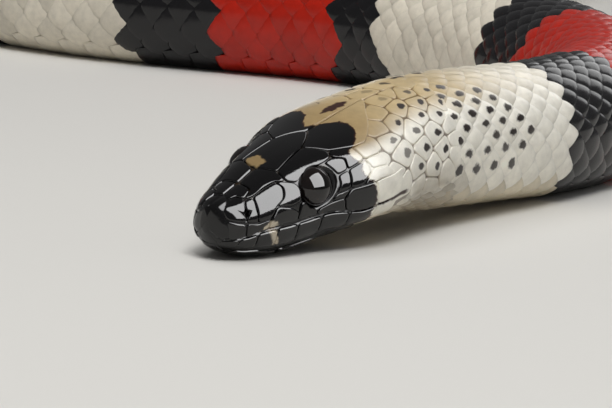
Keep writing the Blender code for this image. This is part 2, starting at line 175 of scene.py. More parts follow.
def offSkin(arc, degrees, out=0.0, floor=0.0):
    # the surface point moved out along its true normal, from the cross product of the two tangents
    arc, degrees, out = np.broadcast_arrays(*(np.asarray(value, float) for value in (arc, degrees, out)))
    step = np.clip(arc * 0.5, 0.02, 0.15)
    lengthwise = surface(arc + step, degrees) - surface(np.maximum(arc - step, 0), degrees)
    around = surface(arc, degrees + 1.2) - surface(arc, degrees - 1.2)
    normal = np.cross(lengthwise, around)
    normal /= np.linalg.norm(normal, axis=-1, keepdims=True) + 1e-12
    points = surface(arc, degrees) + normal * out[..., None]
    points[..., 2] = np.maximum(points[..., 2], floor)
    return points


def mmPerDegree(arc, degrees):
    # length of one degree over the skin, from two points four degrees apart
    arc = np.float64(arc)
    return float(np.linalg.norm(surface(arc, degrees + 2.0) - surface(arc, degrees - 2.0)) / 4)


def mouthTable():
    # degrees round from the top at which the skin meets the line of the mouth
    sweep = np.linspace(60, 179, 239)
    arcs = np.arange(0.0, 17.8, 0.2)
    found = []
    for arc in arcs:
        vertical = section(np.full_like(sweep, arc), sweep)[1]
        found.append(np.interp(at("mouth", arc) - at("middle", arc), vertical[::-1], sweep[::-1]))
    return arcs, np.array(found)


mouthArcs, mouthDegreesAt = mouthTable()


def mouthDegrees(arc):
    # the line of the mouth as degrees round from the top, the same on both sides
    return np.interp(arc, mouthArcs, mouthDegreesAt)


# colours and markings
def linear(hexText):
    # sRGB hex to linear: ((v + 0.055) / 1.055) to the power 2.4, and v / 12.92 where v is very dark
    value = np.array([int(hexText[k:k + 2], 16) for k in (0, 2, 4)]) / 255
    return np.where(value <= 0.04045, value / 12.92, ((value + 0.055) / 1.055) ** 2.4)


colours = {
    "mask": "060506",
    "black": "141315",
    "ivory": "f6f2e6",
    "straw": "c3ad83",
    "khaki": "9d845a",
    "white": "e4dccb",
    "red": "b21d09",
    "belly": "d8cbb0",
    "seamAndHighlight": "5d4a34",
    # painted shade colour for the folded skin behind the mouth
    "foldShade": "85755a",
    "mark": "d8cbb4",
    "rust": "4a2416",
}
tone = {name: linear(text) for name, text in colours.items()}

collarEnd = 46.5
# ring borders by arc length: each entry is where that colour ends
rings = (
    (collarEnd, "ivory"), (61.0, "black"), (94.5, "red"), (105.0, "black"), (127.5, "white"), (136.0, "black"),
    (154.0, "red"), (165.5, "black"), (187.0, "white"), (196.0, "black"), (214.5, "red"), (224.5, "black"),
    (244.0, "white"), (253.0, "black"), (272.0, "red"), (282.0, "black"), (301.0, "white"), (310.0, "black"),
    (329.0, "red"), (339.0, "black"), (357.0, "white"), (366.0, "black"), (385.0, "red"), (395.0, "black"),
    (413.0, "white"), (422.0, "black"), (440.0, "red"), (450.0, "black"), (467.0, "white"), (476.0, "black"),
    (493.0, "red"), (503.0, "black"), (519.0, "white"), (528.0, "black"), (544.0, "red"), (553.0, "black"),
    (568.0, "white"), (577.0, "black"), (592.0, "red"), (600.0, "black"), (613.0, "white"), (620.0, "black"),
    (633.0, "red"), (640.0, "black"), (651.0, "white"), (657.0, "black"), (667.0, "red"), (672.0, "black"),
    (679.0, "white"), (690.0, "black"),
)


def soft(value, low, high):
    # 0 below low, 1 above high, and 3t^2 - 2t^3 between them
    t = np.clip((value - low) / (high - low), 0, 1)
    return t * t * (3 - 2 * t)


def mix(a, b, share):
    # straight blend of two colours, share 0 to 1 of the second
    return a + (b - a) * np.asarray(share)[..., None]


def waves(arc, degrees, size):
    # smooth wobble of about +-1 with features of size mm, from a few crossed sines
    u, v = arc / size, degrees * 0.11 / size
    first, second = np.sin(2.1 * u + 1.7 * v + 0.4), np.sin(-1.3 * u + 2.9 * v + 2.1)
    return (first + second + np.sin(3.7 * u - 1.1 * v + 5.2)) / 3


ringEnds = np.array([edge for edge, _ in rings])
ringTones = np.array([tone[name] for _, name in rings])


def ringColour(arc, degrees, blur=0.25):
    # colour by arc length, borders bowed a little so that black is widest along the back
    bow = 1.2 * np.cos(np.radians(degrees)) * np.clip((arc - 30) / 30, 0, 1)
    near = np.clip(np.searchsorted(ringEnds, arc), 0, len(ringEnds) - 1)
    isBlack = np.array([name == "black" for _, name in rings])[near]
    shifted = arc + np.where(isBlack, -bow, bow) * 0.5
    k = np.clip(np.searchsorted(ringEnds, shifted), 0, len(ringEnds) - 1)
    here = ringTones[k]
    toNext = ringEnds[k] - shifted
    nextTone = ringTones[np.minimum(k + 1, len(ringEnds) - 1)]
    return mix(here, nextTone, 0.5 * (1 - soft(toNext, 0, blur)))


# rear border of the black mask: degrees round from the top, arc length
maskBorder = (
    (-180, 12.4), (-150, 13.0), (-130, 13.9), (-115, 14.4), (-106, 14.2), (-98, 14.3), (-92, 14.4), (-85, 14.2),
    (-77, 14.0), (-70, 13.4), (-63, 13.0), (-56, 13.3), (-50, 12.9), (-45, 12.7), (-38, 12.9), (-35, 13.6),
    (-29, 14.5), (-21, 15.3), (-13, 15.6), (-7, 15.3), (-2, 14.3), (3, 12.9), (8, 13.6), (13, 14.9),
    (22, 15.7), (34, 15.6), (44, 14.6), (50, 13.2), (63, 13.0), (77, 14.0), (92, 14.4), (106, 14.2),
    (115, 14.4), (130, 13.9), (150, 13.0), (180, 12.4),
)
lipMark = ((4.0, -80), (4.65, -83), (5.25, -112), (4.75, -115), (4.3, -98), (3.95, -88), (3.3, -91), (3.4, -86))
blackStreak = ((15.6, 6.0), (17.0, 9.0), (18.4, 8.0), (19.2, 4.5), (18.2, 2.0), (16.6, 2.2))
tanPatch = ((6.3, 17.0), (7.1, 7.0), (6.5, -3.5), (5.6, -2.0), (5.6, 9.0))


def insideDistance(polygon, arc, degrees, scale):
    # signed distance in mm to a polygon given as (arc, degrees): positive inside
    px, py = arc, degrees * scale
    corners = np.array(polygon, float) * (1, scale)
    nearest = np.full(np.shape(px), 1e9)
    inside = np.zeros(np.shape(px), bool)
    for (ax, ay), (bx, by) in zip(corners, np.roll(corners, -1, axis=0)):
        ex, ey = bx - ax, by - ay
        t = np.clip(((px - ax) * ex + (py - ay) * ey) / (ex * ex + ey * ey), 0, 1)
        nearest = np.minimum(nearest, np.hypot(px - ax - t * ex, py - ay - t * ey))
        crosses = ((ay > py) != (by > py)) & (px < ex * (py - ay) / (ey + 1e-12) + ax)
        inside ^= crosses
    return np.where(inside, nearest, -nearest)


def collarColour(arc, degrees):
    # straw along the back of the neck, ivory on the flank, warmer and darker under the throat, with painted
    # shade over the folded skin behind the mouth
    side = np.abs(degrees + 4)
    found = mix(tone["straw"], tone["ivory"], soft(side, 14, 46) * 0.9 + 0.1 * soft(arc, 26, 40))
    found = mix(found, tone["ivory"], soft(arc, 27, 44) * 0.75)
    found = mix(tone["khaki"], found, soft(arc, 14, 24) * 0.8 + 0.2)
    found = mix(found, tone["ivory"], soft(side, 30, 44))
    # painted shade of the folds: the loose skin behind the corner of the mouth is darkened
    foldShadeMask = soft(side, 74, 96) * soft(arc, 18.5, 21) * (1 - soft(arc, 26, 33))
    foldShadeMask = foldShadeMask * (0.75 + 0.25 * waves(0.3 * arc, degrees, 0.5))
    found = mix(found, tone["belly"], soft(side, 100, 124) * 0.9)
    # painted shade laid over the folds
    return mix(found, tone["foldShade"], 0.65 * foldShadeMask)


def headColour(arc, degrees):
    # black mask in front of its border, with the streak, lip line, tan patch and lip mark laid over by distance
    border = np.interp(degrees, [k[0] for k in maskBorder], [k[1] for k in maskBorder])
    edge = border - arc + 0.10 * waves(arc, degrees, 0.35) + 0.05 * waves(arc + 9, degrees, 0.12)
    black = soft(edge, -0.06, 0.06)
    streak = insideDistance(blackStreak, arc, degrees, 0.1) + 0.08 * waves(arc, degrees, 0.3)
    black = np.maximum(black, soft(streak, -0.05, 0.08))
    lipLine = np.abs(np.abs(degrees) - mouthDegrees(arc)) * 0.11 + 0.04 * waves(arc, degrees, 0.2)
    thicker = soft(arc, 14, 15)
    lipBlack = 1 - soft(lipLine, 0.08 + 0.09 * thicker, 0.2 + 0.1 * thicker)
    black = np.maximum(black, lipBlack * (1 - soft(arc, 18.2, 18.9)) * (arc > 12))
    patch = soft(insideDistance(tanPatch, arc, degrees, 0.09) + 0.08 * waves(arc, degrees, 0.2), -0.04, 0.1)
    dark = mix(tone["mask"], tone["rust"], 0.55 * (1 - soft(edge, 0.0, 0.28)))
    dark = mix(dark, tone["khaki"], 0.8 * patch)
    mark = insideDistance(lipMark, arc, degrees, 0.07) + 0.05 * waves(arc, degrees, 0.2)
    dark = mix(dark, tone["mark"], 0.8 * soft(mark, -0.03, 0.08))
    tan = 0.35 * (1 - soft(arc, 15, 19)) * soft(60 - np.abs(degrees), 0, 20)
    pale = mix(collarColour(arc, degrees), tone["khaki"], tan)
    return mix(pale, dark, black), black


def skinColour(arc, degrees):
    # head colours in front, fading over 2 mm into the collar, which gives way to the rings
    head, black = headColour(arc, degrees)
    collar = mix(ringColour(arc, degrees), collarColour(arc, degrees), (arc < collarEnd) * 1.0)
    return mix(head, collar, soft(arc, 19, 21))


# meshes
def node(tree, kind, settings=None, links=None):
    # adds a node; a setting is one of its own properties or else the value of a socket
    made = tree.nodes.new(kind)
    for key, value in (settings or {}).items():
        if isinstance(key, str) and hasattr(made, key):
            setattr(made, key, value)
        else:
            made.inputs[key].default_value = value
    for key, source in (links or {}).items():
        tree.links.new(source, made.inputs[key])
    return made


bakeMap = {
    "places": ((-2, 0.0), (0, 0.01), (50, 0.35), (690, 0.99)),   # arc length, u
    "patch": 0.0014,     # half of a scale's own patch
}


def unwrap(arc, degrees):
    # the skin's own unwrap: length along u, a third of it for the head and collar, way round along v
    return np.stack([np.interp(arc, *zip(*bakeMap["places"])), degrees / 360.0 + 0.5], -1)


def ballFaces(rings, around):
    # rings of points that run from one pole to the other, with the poles as the two points after them
    grid = np.arange(rings * around).reshape(rings, around)
    a, b = grid[:-1], grid[1:]
    quads = np.stack([a, b, np.roll(b, -1, 1), np.roll(a, -1, 1)], -1).reshape(-1, 4)
    first = np.stack([grid[0], np.roll(grid[0], -1), np.full(around, grid.size)], -1)
    last = np.stack([np.roll(grid[-1], -1), grid[-1], np.full(around, grid.size + 1)], -1)
    return quads, np.concatenate([first, last])


def ringFaces(rings, around):
    # rings that close in from a rim: quads between them, a fan to the crown and one to a point underneath
    grid = np.arange(rings * around).reshape(rings, around)
    a, b = grid[:-1], grid[1:]
    quads = np.stack([a, np.roll(a, -1, 1), np.roll(b, -1, 1), b], -1).reshape(-1, 4)
    crown = np.stack([grid[-1], np.roll(grid[-1], -1), np.full(around, grid.size)], -1)
    base = np.stack([np.roll(grid[0], -1), grid[0], np.full(around, grid.size + 1)], -1)
    return quads, np.concatenate([crown, base])


def makeMesh(name, parts, material):
    # joins a list of dictionaries of arrays into one mesh object
    counts = np.cumsum([0] + [len(p["points"]) for p in parts])
    points = np.concatenate([p["points"] for p in parts]) * mm
    quads = np.concatenate([p["quads"] + c for p, c in zip(parts, counts)])
    tris = np.concatenate([p["tris"] + c for p, c in zip(parts, counts)])
    corners = np.concatenate([quads.ravel(), tris.ravel()]).astype(np.int32)
    sizes = np.concatenate([np.full(len(quads), 4), np.full(len(tris), 3)]).astype(np.int32)
    mesh = bpy.data.meshes.new(name)
    mesh.vertices.add(len(points))
    mesh.vertices.foreach_set("co", points.astype(np.float32).ravel())
    mesh.loops.add(len(corners))
    mesh.loops.foreach_set("vertex_index", corners)
    mesh.polygons.add(len(sizes))
    starts = np.concatenate([[0], np.cumsum(sizes)[:-1]]).astype(np.int32)
    mesh.polygons.foreach_set("loop_start", starts)
    mesh.polygons.foreach_set("loop_total", sizes)
    mesh.polygons.foreach_set("use_smooth", np.ones(len(sizes), bool))
    mesh.update(calc_edges=True)
    for layer, key in (("OFBake", "bake"), ("grain", "grain")):
        uv = np.concatenate([p[key] for p in parts])[corners]
        low = np.minimum.reduceat(uv[:, 1], starts)
        high = np.maximum.reduceat(uv[:, 1], starts)
        wraps = np.repeat(high - low > 0.5, sizes)
        uv[:, 1] += wraps * (uv[:, 1] < 0.5) * (key == "bake")
        mesh.uv_layers.new(name=layer).data.foreach_set("uv", uv.astype(np.float32).ravel())
    tint = np.concatenate([p["tint"] for p in parts])
    tint = np.concatenate([tint, np.ones((len(tint), 1))], 1)
    tints = mesh.color_attributes.new("tint", "FLOAT_COLOR", "POINT")
    tints.data.foreach_set("color", tint.astype(np.float32).ravel())
    traits = np.concatenate([p["traits"] for p in parts])
    vectors = mesh.attributes.new("traits", "FLOAT_VECTOR", "POINT")
    vectors.data.foreach_set("vector", traits.astype(np.float32).ravel())
    mesh.materials.append(material)
    piece = bpy.data.objects.new(name, mesh)
    bpy.context.scene.collection.objects.link(piece)
    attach(piece, "root")
    print(name, "triangles", 2 * len(quads) + len(tris))
    return piece


# skin material: keratin over pigment, so a clear sheen over a matte colour
skinFinish = {
    "roughness": (0.07, 0.44),         # at gloss 1 and at gloss 0
    "sheen": (0.4, 0.6),               # specular level, pale scales and mask
    "spotCentre": (0.76, 0.58, 0.08),  # on the scale's own map, toward its rear tip
    "spotShape": (5.6, 6.6, 0.0),      # the larger, the narrower
    "spotShake": 0.22,
    "shakePerMm": 1.7,                 # features of the noise for each mm
    "mottlePerMm": 0.9,
    "speckleMm": 0.22,
    "rimBrown": "6b4a2c",
    "spotBrown": "1c0d08",
}


def scaleMaterial(name):
    # reptile keratin: tint, then mottling, rim and spot over it, under a clear sheen
    # traits: x spot strength, y rim strength, z gloss
    made = bpy.data.materials.new(name)
    made.use_nodes = True
    tree = made.node_tree
    shader = tree.nodes["Principled BSDF"]
    tint = node(tree, "ShaderNodeAttribute", {"attribute_name": "tint"})
    traits = node(tree, "ShaderNodeAttribute", {"attribute_name": "traits"})
    split = node(tree, "ShaderNodeSeparateXYZ", None, {0: traits.outputs["Vector"]})
    grain = node(tree, "ShaderNodeUVMap", {"uv_map": "grain"})
    place = node(tree, "ShaderNodeTexCoord")
    # grain holds the scale's own lengthwise and crosswise place, 0.5 at its middle
    wobble = node(
        tree, "ShaderNodeTexNoise", {"Scale": skinFinish["shakePerMm"] / mm, "Detail": 3.0},
        {"Vector": place.outputs["Object"]},
    )
    shake = node(
        tree, "ShaderNodeVectorMath", {"operation": "SCALE", "Scale": skinFinish["spotShake"]},
        {0: wobble.outputs["Color"]},
    )
    moved = node(
        tree, "ShaderNodeVectorMath", {"operation": "ADD"},
        {0: grain.outputs["UV"], 1: shake.outputs["Vector"]},
    )
    spotAt = node(
        tree, "ShaderNodeVectorMath", {"operation": "SUBTRACT", 1: skinFinish["spotCentre"]},
        {0: moved.outputs["Vector"]},
    )
    spotSize = node(
        tree, "ShaderNodeVectorMath", {"operation": "MULTIPLY", 1: skinFinish["spotShape"]},
        {0: spotAt.outputs["Vector"]},
    )
    spotFar = node(tree, "ShaderNodeVectorMath", {"operation": "LENGTH"}, {0: spotSize.outputs["Vector"]})
    spot = node(
        tree, "ShaderNodeMapRange", {"From Min": 1.15, "From Max": 0.75, "To Min": 0.0, "To Max": 1.0},
        {"Value": spotFar.outputs["Value"]},
    )
    spotOn = node(
        tree, "ShaderNodeMath", {"operation": "MULTIPLY", "use_clamp": True},
        {0: spot.outputs["Result"], 1: split.outputs["X"]},
    )
    # rim: how far out on the scale, from 0 at its middle to 0.5 at its edge
    centred = node(
        tree, "ShaderNodeVectorMath", {"operation": "SUBTRACT", 1: (0.5, 0.5, 0.0)}, {0: grain.outputs["UV"]},
    )
    rimFar = node(tree, "ShaderNodeVectorMath", {"operation": "LENGTH"}, {0: centred.outputs["Vector"]})
    rim = node(
        tree, "ShaderNodeMapRange", {"From Min": 0.465, "From Max": 0.495, "To Min": 0.0, "To Max": 1.0},
        {"Value": rimFar.outputs["Value"]},
    )
    rimOn = node(
        tree, "ShaderNodeMath", {"operation": "MULTIPLY", "use_clamp": True},
        {0: rim.outputs["Result"], 1: split.outputs["Y"]},
    )
    # faint mottling of the pigment
    mottle = node(
        tree, "ShaderNodeTexNoise", {"Scale": skinFinish["mottlePerMm"] / mm, "Detail": 4.0, "Roughness": 0.6},
        {"Vector": place.outputs["Object"]},
    )
    value = node(
        tree, "ShaderNodeMapRange", {"From Min": 0.3, "From Max": 0.7, "To Min": 0.88, "To Max": 1.08},
        {"Value": mottle.outputs["Fac"]},
    )
    base = node(
        tree, "ShaderNodeVectorMath", {"operation": "SCALE"},
        {0: tint.outputs["Color"], "Scale": value.outputs["Result"]},
    )
    rimmed = node(
        tree, "ShaderNodeMix", {"data_type": "RGBA", 7: (*linear(skinFinish["rimBrown"]), 1)},
        {0: rimOn.outputs["Value"], 6: base.outputs["Vector"]},
    )
    spotted = node(
        tree, "ShaderNodeMix", {"data_type": "RGBA", 7: (*linear(skinFinish["spotBrown"]), 1)},
        {0: spotOn.outputs["Value"], 6: rimmed.outputs[2]},
    )
    tree.links.new(spotted.outputs[2], shader.inputs["Base Color"])
    smooth, dull = skinFinish["roughness"]
    rough = node(
        tree, "ShaderNodeMapRange", {"From Min": 1.0, "From Max": 0.0, "To Min": smooth, "To Max": dull},
        {"Value": split.outputs["Z"]},
    )
    tree.links.new(rough.outputs["Result"], shader.inputs["Roughness"])
    fine = node(
        tree, "ShaderNodeTexNoise", {"Scale": 1 / (skinFinish["speckleMm"] * mm), "Detail": 2.0},
        {"Vector": place.outputs["Object"]},
    )
    bump = node(
        tree, "ShaderNodeBump", {"Strength": 0.12, "Distance": 0.00003}, {"Height": fine.outputs["Fac"]},
    )
    tree.links.new(bump.outputs["Normal"], shader.inputs["Normal"])
    faint, bright = skinFinish["sheen"]
    sheen = node(
        tree, "ShaderNodeMapRange", {"From Min": 0.3, "From Max": 1.0, "To Min": faint, "To Max": bright},
        {"Value": split.outputs["Z"]},
    )
    tree.links.new(sheen.outputs["Result"], shader.inputs["Specular IOR Level"])
    return made


scaleSkin = scaleMaterial("scaleSkin")


# eye: place and frame
eye = {
    "spot": (8.9, 62.3),
    "radius": 1.68,
    "thick": 1.3,
    "depth": 0.72,
}
nostril = {"spot": (2.07, 60.0), "size": (0.34, 0.5), "radius": 0.38}


def eyeFrame(side):
    # middle of the eyeball, then outward, upward and backward directions
    arc, degrees = eye["spot"]
    arc, degrees = np.float64(arc), np.float64(side * degrees)
    along = surface(arc + 1, degrees) - surface(arc - 1, degrees)
    along /= np.linalg.norm(along)
    across = surface(arc, degrees + side * 8) - surface(arc, degrees - side * 8)
    outward = np.cross(along, across) * side
    outward /= np.linalg.norm(outward)
    return surface(arc, degrees) - outward * eye["depth"], outward, np.cross(outward, along), along


def eyeDistance(arc, degrees):
    # distance in mm over the skin from the middle of the nearer eye
    scale = mmPerDegree(*eye["spot"])
    return np.hypot(arc - eye["spot"][0], (np.abs(degrees) - eye["spot"][1]) * scale)


# skin: one closed sheet over the whole animal
skin = {
    "columns": 168,
    "headStep": 0.16,
    "bodyStep": 1.6,
    "farStep": 3.2,
    "floor": 0.12,       # the skin stays this far above the floor
    "shade": 0.72,       # how much darker it is than the scales, in the seams
    # how far the skin lies in under the coat, by arc length
    "inset": (
        (0, 0.13), (3, 0.05), (18, 0.05), (21, 0.12), (26, 0.14), (29, 0.30), (60, 0.34), (75, 0.46),
        (600, 0.42), (685, 0.28),
    ),
}


rostralOutline = (
    (-1, -2), (1.72, -2), (1.72, 2), (1.42, 15), (0.72, 28), (0.40, 46), (0.47, 70), (0.9, 92),
    (1.0, 130), (-1, 130),
)


def skinRelief(arc, degrees):
    # groove along the mouth as a bell curve, soft-edged bowls for the eyes and pits for the nostrils,
    # and a raised rostral shield
    gap = (np.abs(degrees) - mouthDegrees(arc)) * 0.09
    reach = 1 - soft(arc, form["mouthCorner"] - 0.6, form["mouthCorner"] + 0.4)
    groove = -0.30 * np.exp(-(gap / 0.12) ** 2) * reach * soft(arc, 0.2, 0.6)
    bowl = -0.75 * (1 - soft(eyeDistance(arc, degrees), eye["radius"] - 0.25, eye["radius"] + 0.12))
    pitAlong = (arc - nostril["spot"][0]) / nostril["size"][0]
    pitAround = (np.abs(degrees) - nostril["spot"][1]) * 0.045 / nostril["size"][1]
    pit = np.hypot(pitAlong, pitAround)
    hole = -0.45 * (1 - soft(pit, 0.6, 1.1))
    rostral = 0.10 * soft(insideDistance(rostralOutline, arc, np.abs(degrees), 0.036), 0.0, 0.2)
    rostral = rostral * (1 - soft(np.abs(degrees) - mouthDegrees(arc), -14, -4))
    return groove + bowl + hole + rostral


def buildSkin():
    # the body's surface on a grid of arc length and degrees, moved by the relief less the inset
    arcs = np.concatenate([
        [0.0, 0.06], np.arange(0.16, 26, skin["headStep"]), np.arange(26, 200, skin["bodyStep"]),
        np.arange(200, form["length"], skin["farStep"]), [form["length"]],
    ])
    angles = np.linspace(-180, 180, skin["columns"], endpoint=False)
    arc, angle = [g.ravel() for g in np.meshgrid(arcs, angles, indexing="ij")]
    out = skinRelief(arc, angle) - np.interp(arc, *zip(*skin["inset"]))
    points = offSkin(arc, angle, out, skin["floor"])
    columns = len(angles)
    quads, tris = ballFaces(len(arcs), columns)
    points = np.concatenate([points, points[:columns].mean(0)[None], points[-columns:].mean(0)[None]])
    arc = np.concatenate([arc, [0.0, form["length"]]])
    angle = np.concatenate([angle, [0.0, 0.0]])
    tint = skinColour(arc, angle) * skin["shade"]
    # seams of the head and nape show as thin lines: brown on the pale part; on the top of the mask a painted
    # highlight greys them as if lit
    pale = soft(tint[:, 1], 0.1, 0.3) * (1 - soft(arc, 26, 30))
    tint = mix(tint, tone["seamAndHighlight"], 0.65 * pale)
    # painted highlight: the seams on the top of the black mask are lightened, as thin lit lines
    crown = (1 - soft(np.abs(angle), 40, 50)) * (1 - soft(tint[:, 1], 0.02, 0.1))
    crown = crown * (1 - soft(arc, 15, 18)) * soft(arc, 2.0, 3.2)
    tint = mix(tint, tone["seamAndHighlight"], 0.22 * crown)
    return {
        "points": points, "quads": quads, "tris": tris, "tint": tint,
        "bake": unwrap(arc, angle), "grain": np.full((len(arc), 2), 0.5),
        "traits": np.stack([0 * arc, 0 * arc, np.where(arc < 14, 0.7, 0.35)], -1),
    }


skinPiece = makeMesh("skin", [buildSkin()], scaleSkin)
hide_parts(*[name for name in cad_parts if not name.startswith("eye")])


# head shields
shields = {
    "step": 0.15,      # spacing of the mesh over a shield
    "gap": 0.018,
    "rise": 0.12,
    "bevel": 0.055,
    "root": 0.34,        # how deep its foot stands in the skin
    "rounding": 3,       # passes that round its corners
}
plateDepths = (0.0, 0.0, 0.025, 0.055, 0.10, 0.18)   # rings from the rim inward, in mm
plateDome = 0.04

# corners shared by neighbouring shields: arc length and degrees round from the top
corner = {
    "r0": (1.75, 0), "r1": (1.45, 15), "r2": (0.75, 28), "r3": (0.42, 46), "r4": (0.5, 70),
    "n1": (2.1, 17), "n2": (2.45, 31), "n3": (2.12, 45), "n4": (2.06, 62), "n5": (1.95, 76),
    "q1": (3.5, 0), "q2": (3.45, 22), "q3": (3.1, 34), "q4": (3.0, 52), "q5": (3.0, 66), "q6": (2.95, 79),
    "l1": (4.2, 31), "l2": (5.4, 32), "l3": (5.75, 44), "l4": (5.45, 60), "l5": (4.7, 66), "l6": (4.15, 78),
    "p0": (5.45, 0), "p1": (6.2, 22), "p2": (6.2, 40),
    "o1": (7.0, 49), "o2": (7.2, 58), "o3": (7.1, 72), "o4": (6.1, 74),
    "s1": (8.0, 17), "s2": (9.8, 13), "s3": (11.3, 30), "s4": (11.1, 38), "s5": (10.2, 41),
    "f0": (12.4, 0),
    "b1": (12.1, 44), "b2": (11.9, 57), "b3": (10.9, 60), "b4": (11.9, 68), "b5": (10.9, 73),
    "b6": (11.8, 77), "b7": (10.5, 78), "b8": (11.3, 84), "b9": (10.1, 84),
    "t1": (13.4, 36), "t2": (14.9, 37), "t3": (13.7, 52), "t4": (15.6, 52), "t5": (14.0, 64), "t6": (15.8, 66),
    "t7": (14.2, 77), "t8": (16.6, 76), "t9": (13.0, 77),
    "w1": (16.9, 24), "w2": (18.7, 10), "w3": (20.4, 0),
    "v3": (6.9, 82), "v4": (8.8, 87), "v5": (17.6, 74),
}
middleShields = {
    "frontal": ("p0", "p1", "s1", "s2", "f0"),
}
pairedShields = {
    "internasal": ("r0", "r1", "n1", "n2", "q2", "q1"),
    "prefrontal": ("q1", "q2", "n2", "q3", "l1", "l2", "p2", "p1", "p0"),
    "nasalFront": ("r1", "r2", "r3", "r4", "n5", "n4", "n3", "n2", "n1"),
    "nasalRear": ("n2", "q3", "q4", "q5", "q6", "n5", "n4", "n3"),
    "loreal": ("q3", "l1", "l2", "l3", "l4", "l5", "l6", "q6", "q5", "q4"),
    "preocular": ("l2", "p2", "o1", "o2", "o3", "o4", "l5", "l4", "l3"),
    "supraocular": ("p1", "s1", "s2", "s3", "s4", "s5", (9.0, 42), (7.8, 43), "o1", "p2"),
    "parietal": ("f0", "s2", "s3", "t1", "t2", "w1", "w2", "w3"),
    "postocularTop": ("s5", "s4", "b1", "b2", "b3"),
    "postocularMid": ("b3", "b2", "b4", "b6", "b7", "b5"),
    "postocularLow": ("b7", "b6", "b8", "b9"),
    "temporalTop": ("s4", "s3", "t1", "t3", "b2", "b1"),
    "temporalMid": ("b2", "t3", "t5", "t9", "b6", "b4"),
    "temporalRear": ("t1", "t2", "t4", "t3"),
    "temporalBack": ("t3", "t4", "t6", "t5"),
    "temporalLow": ("t5", "t6", "t8", "t7", "t9"),
}
# each upper lip shield: its top corners by name, and the arc lengths it spans along the mouth
upperLips = (
    ("r4", "n5", 0.8, 2.0), ("n5", "q6", 2.0, 3.0, "l6", 3.95), ("l6", "l5", 3.95, 6.8, "o4", "v3"),
    ("v3", "o3", 6.8, 8.8, "v4"), ("v4", "b9", 8.8, 11.5, "b8"), ("b8", "b6", 11.5, 14.7, "t9", "t7"),
    ("t7", "t8", 14.7, 17.4, "v5"),
)
lowerLips = (0.5, 1.6, 3.1, 4.9, 7.0, 9.4, 12.0, 14.7, 17.2)
chinShields = (
    ((1.9, 178.5), (5.9, 178.5), (6.5, 160), (6.0, 134), (3.6, 126), (1.9, 140)),
    ((6.0, 178.5), (10.4, 176), (11.2, 152), (10.4, 134), (6.1, 131), (6.6, 160)),
)
mentalShield = ((0.5, 154), (1.7, 160), (2.0, 180), (1.7, 200), (0.5, 206))
jawLift = -0.04


def clearRound(arc, degrees, spot, radius):
    # pushes points that lie inside the circle about the spot out onto it
    scale = mmPerDegree(*spot)
    side = np.sign(np.mean(degrees))
    dx = arc - spot[0]
    dy = (degrees - side * spot[1]) * scale
    far = np.hypot(dx, dy) + 1e-9
    grow = np.maximum(radius / far, 1)
    return spot[0] + dx * grow, side * spot[1] + dy * grow / scale


def resample(x, y, step):
    # closed line through the corners, points evenly spaced
    x, y = np.append(x, x[0]), np.append(y, y[0])
    far = np.concatenate([[0], np.cumsum(np.hypot(np.diff(x), np.diff(y)))])
    count = max(12, int(far[-1] / step))
    wanted = np.linspace(0, far[-1], count, endpoint=False)
    return np.interp(wanted, far, x), np.interp(wanted, far, y)


